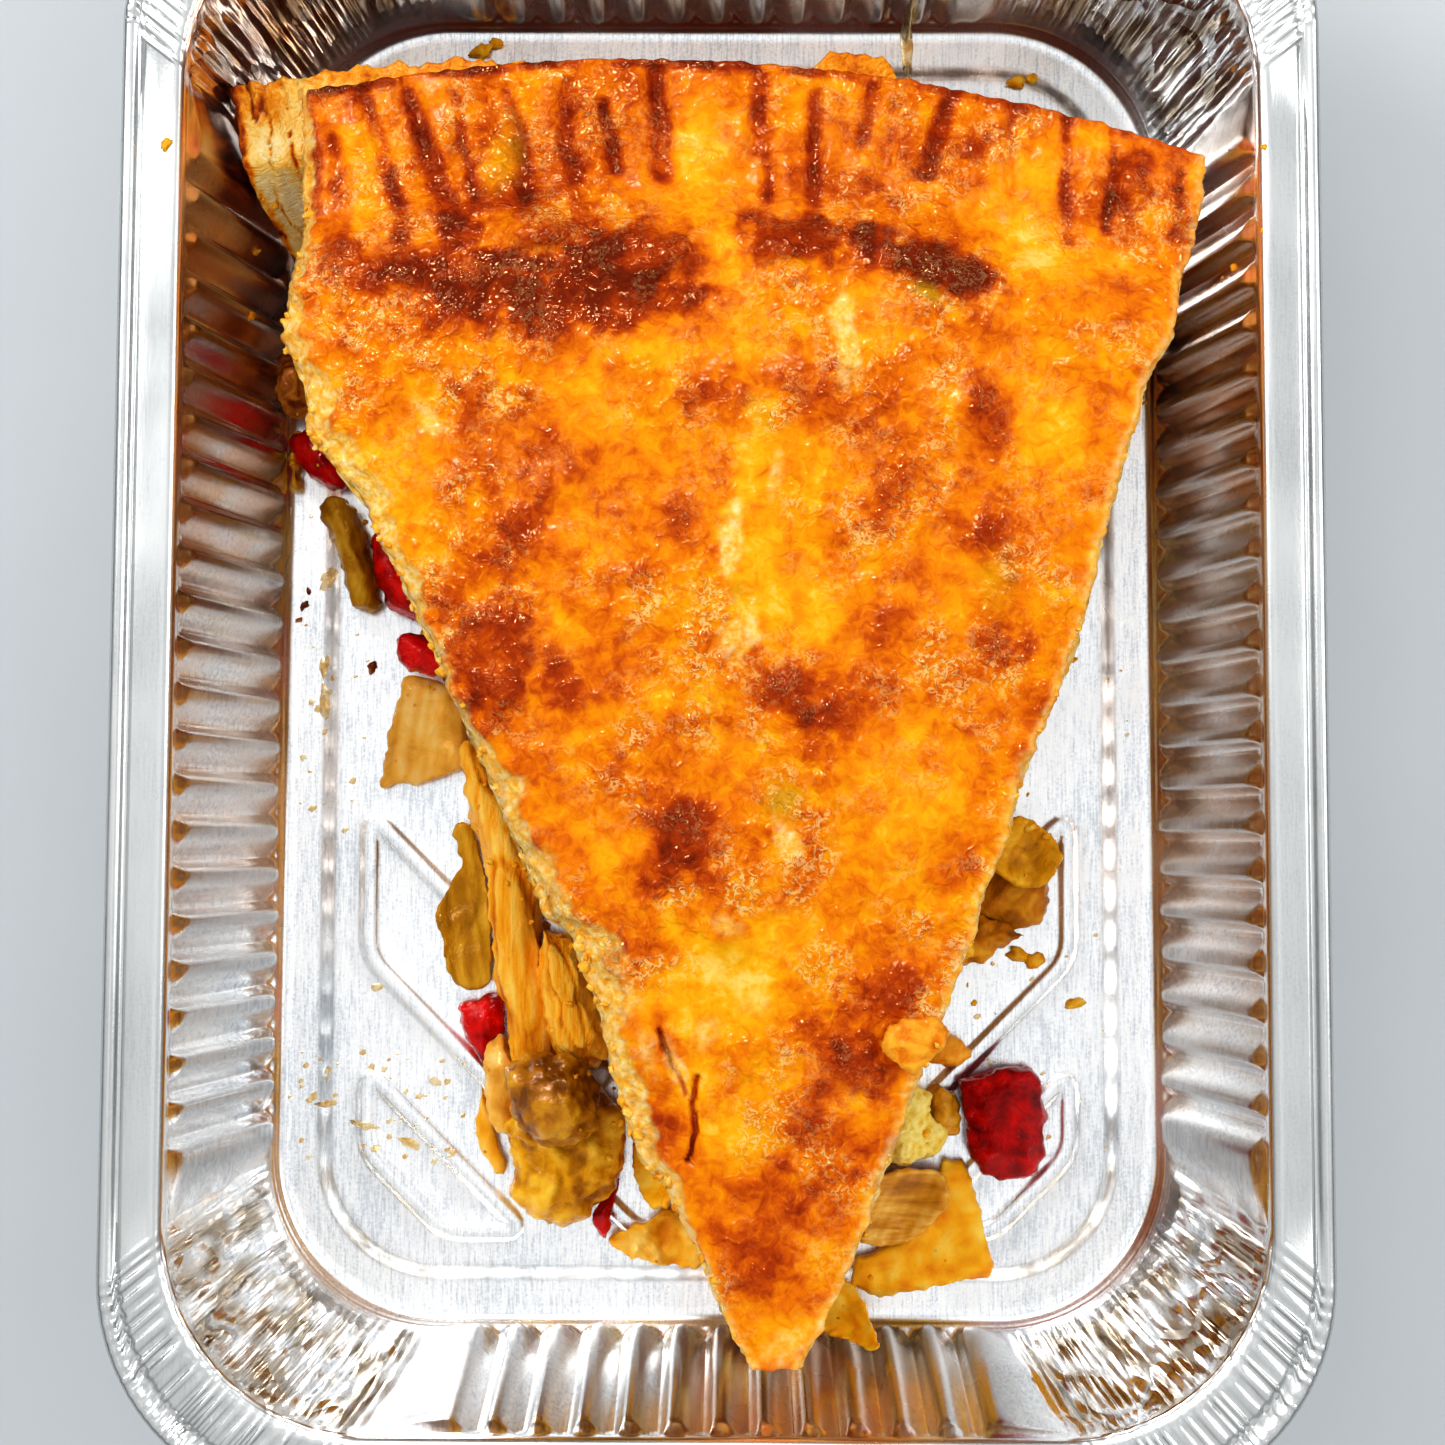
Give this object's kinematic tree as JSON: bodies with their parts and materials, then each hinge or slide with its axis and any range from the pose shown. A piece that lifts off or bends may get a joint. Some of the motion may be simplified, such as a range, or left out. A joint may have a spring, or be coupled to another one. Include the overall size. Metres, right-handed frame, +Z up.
{
  "type": "foil tray meal",
  "caption": "Wedge of savoury pie in a fluted foil tray, with a fork-crimped golden crust and pieces of its vegetable and chicken filling spilled out on both sides.",
  "frame": {"origin": "on the surface the tray stands on, under the middle of the tray", "axes": "+Z up, +Y along the tray from the slice's tip to its rim, +X to the right of the slice seen from its tip"},
  "size_m": [0.157, 0.2186, 0.041],
  "materials": {
    "foil": "bright rolled aluminium foil, fine rolling grain, crumpled at the corners",
    "glazed_crust": "egg-washed pastry, golden yellow browned in patches, glossy with fine flaky relief",
    "bare_crust": "unglazed flaky pastry, pale cream to light brown, matte",
    "dark_crust": "over-baked dark red-brown pastry scrap, flaky, half matte",
    "pie_filling": "moist mixed vegetable and chicken filling in an ochre sauce",
    "red_pepper": "cooked red pepper, wet and glossy, slightly translucent",
    "green_vegetable": "cooked olive-ochre vegetable, fine ribs, moist",
    "mustard_vegetable": "soft cooked vegetable in mustard-coloured sauce, moist and lumpy",
    "brown_vegetable": "browned onion and vegetable, moist, translucent at its edges",
    "onion": "translucent cooked onion, pale ochre, smooth and wet",
    "chicken": "cooked chicken with lengthwise fibres, ochre with an orange tinge",
    "cauliflower": "pale yellow cooked florets, granular"
  },
  "bodies": {
    "root": {"foil_tray": "foil", "pie_top_crust": "glazed_crust", "pie_filling": "pie_filling", "pie_bottom_crust": "bare_crust", "crust_shard": "dark_crust", "red_pepper_a": "red_pepper", "vegetable_scrap": "mustard_vegetable", "green_vegetable": "green_vegetable", "red_pepper_b": "red_pepper", "onion_slab_a": "onion", "red_pepper_c": "red_pepper", "chicken_strip": "chicken", "chicken_chunk": "chicken", "vegetable_leaf": "green_vegetable", "red_pepper_d": "red_pepper", "onion_slab_b": "onion", "onion_shred": "onion", "vegetable_chunk_top": "brown_vegetable", "vegetable_chunk": "mustard_vegetable", "pepper_sliver": "red_pepper", "onion_skin": "brown_vegetable", "onion_piece": "onion", "onion_heap_upper": "mustard_vegetable", "onion_heap_middle": "mustard_vegetable", "onion_heap_lower": "brown_vegetable", "crust_fragment": "bare_crust", "red_pepper_e": "red_pepper", "vegetable_bit": "brown_vegetable", "cauliflower": "cauliflower", "onion_petal_a": "onion", "onion_slab_c": "onion", "onion_petal_b": "onion", "crust_flake": "glazed_crust"}
  },
  "joints": []
}
